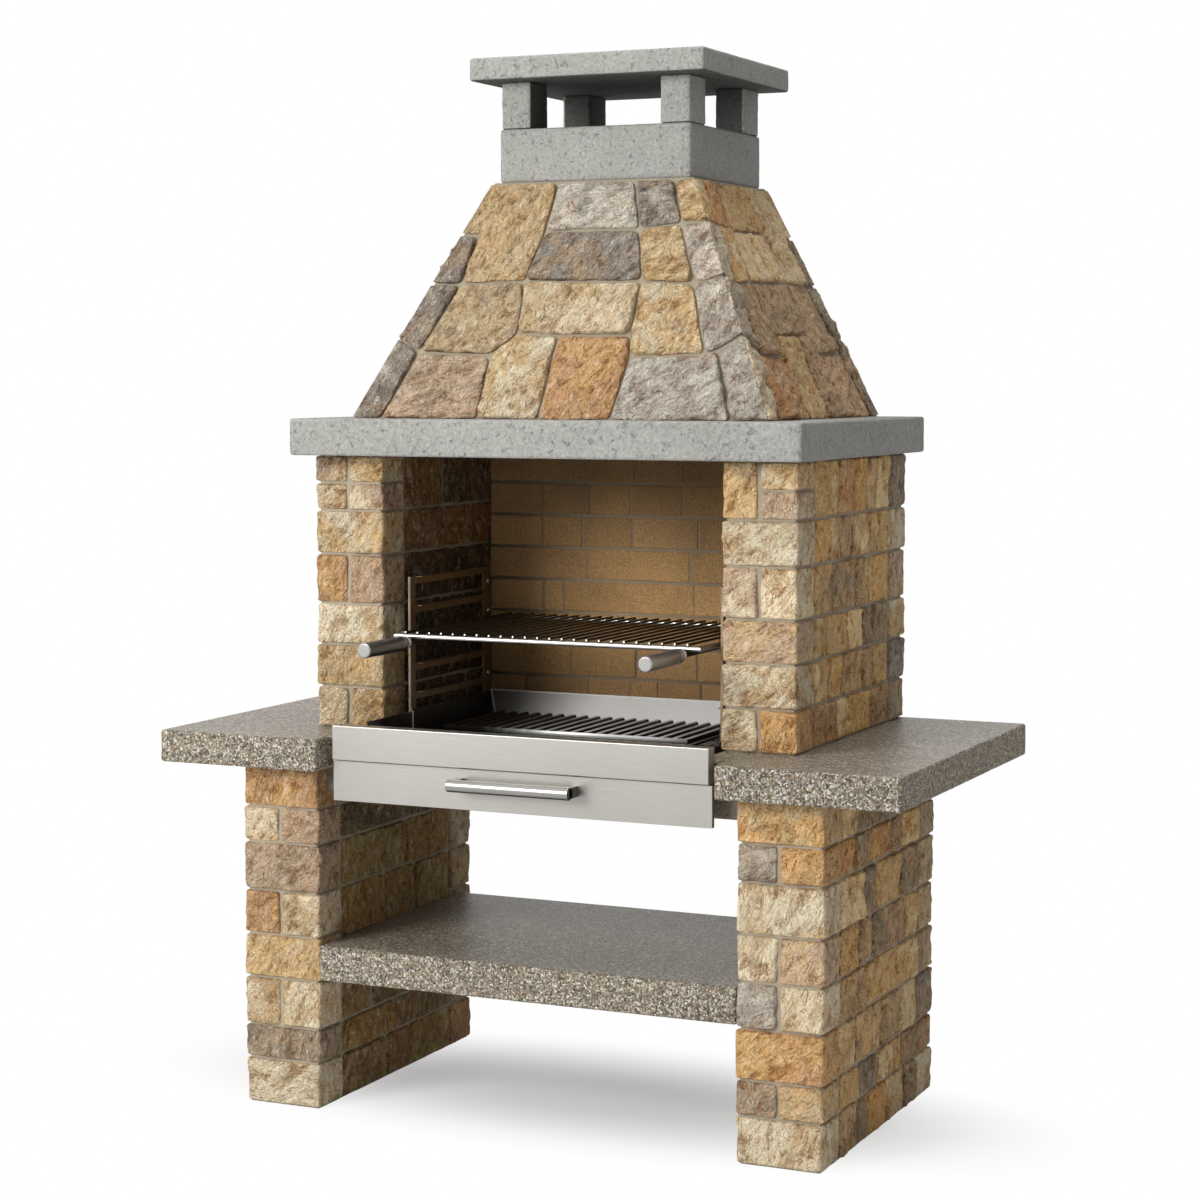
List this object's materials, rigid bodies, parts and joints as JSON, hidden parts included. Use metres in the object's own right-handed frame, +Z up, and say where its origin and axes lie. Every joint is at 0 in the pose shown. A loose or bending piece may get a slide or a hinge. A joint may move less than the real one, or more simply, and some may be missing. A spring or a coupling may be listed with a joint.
{
  "type": "masonry barbecue",
  "caption": "free-standing stone-clad masonry barbecue with a worktop, storage shelf, open fire chamber, hood and chimney, a pull-out cooking grate, a charcoal grate and an ash drawer",
  "frame": {"origin": "on the ground, under the middle of the barbecue's outline", "axes": "+X to the right seen from the front, +Y to the back, +Z up; the fire chamber opens towards -Y"},
  "size_m": [1.6, 0.905, 2.15],
  "materials": {
    "split_stone": "split-face stone in cream, tan, brown and grey",
    "mortar": "raked cement mortar",
    "cast_concrete": "light grey cast concrete, stippled",
    "terrazzo": "washed aggregate slab, ground smooth on top",
    "firebrick": "fired refractory brick, matt",
    "stainless_sheet": "brushed stainless sheet and tube",
    "steel_rod": "bright drawn steel rod"
  },
  "bodies": {
    "masonry": {"left_leg_core": "mortar", "left_leg_quoins": "split_stone", "left_leg_side_stones": "split_stone", "right_leg_core": "mortar", "right_leg_quoins": "split_stone", "right_leg_side_stones": "split_stone", "left_pier_core": "mortar", "left_pier_quoins": "split_stone", "left_pier_side_stones": "split_stone", "right_pier_core": "mortar", "right_pier_quoins": "split_stone", "right_pier_side_stones": "split_stone", "storage_shelf": "terrazzo", "worktop_slab": "terrazzo", "firebricks": "firebrick", "firebrick_mortar": "mortar", "rear_wall": "cast_concrete", "mantel_slab": "cast_concrete", "hood_front_panel": "cast_concrete", "hood_front_stones": "split_stone", "hood_rear_panel": "cast_concrete", "hood_rear_stones": "split_stone", "hood_left_panel": "cast_concrete", "hood_left_stones": "split_stone", "hood_right_panel": "cast_concrete", "hood_right_stones": "split_stone", "chimney_collar": "cast_concrete", "chimney_posts": "cast_concrete", "chimney_cap": "cast_concrete", "left_bearer": "cast_concrete", "right_bearer": "cast_concrete", "left_runner": "stainless_sheet", "right_runner": "stainless_sheet", "tray_left_wall": "stainless_sheet", "tray_right_wall": "stainless_sheet", "tray_back": "stainless_sheet", "tray_floor": "stainless_sheet", "ember_plate": "stainless_sheet", "front_apron": "stainless_sheet", "left_rack_posts": "stainless_sheet", "left_rack_rungs": "stainless_sheet", "right_rack_posts": "stainless_sheet", "right_rack_rungs": "stainless_sheet"},
    "ash_drawer": {"drawer_front": "stainless_sheet", "drawer_pan": "stainless_sheet", "drawer_handle_bar": "stainless_sheet", "drawer_handle_posts": "stainless_sheet"},
    "charcoal_grate": {"charcoal_grate_frame": "steel_rod", "charcoal_grate_bars": "steel_rod", "charcoal_grate_feet": "steel_rod"},
    "cooking_grate": {"grill_frame": "steel_rod", "grill_bars": "steel_rod", "grill_arms": "steel_rod", "grill_grips": "stainless_sheet", "grip_ferrules": "stainless_sheet"}
  },
  "joints": [
    {"name": "ash_drawer_slide", "type": "slide", "parent": "masonry", "child": "ash_drawer", "axis": [0, -1, 0], "range_m": [0, 0.38]},
    {"name": "cooking_grate_slide", "type": "slide", "parent": "masonry", "child": "cooking_grate", "axis": [0, -1, 0], "range_m": [0, 0.47]},
    {"name": "charcoal_grate_lift", "type": "slide", "parent": "masonry", "child": "charcoal_grate", "axis": [0, 0, 1], "range_m": [0, 0.15]}
  ]
}
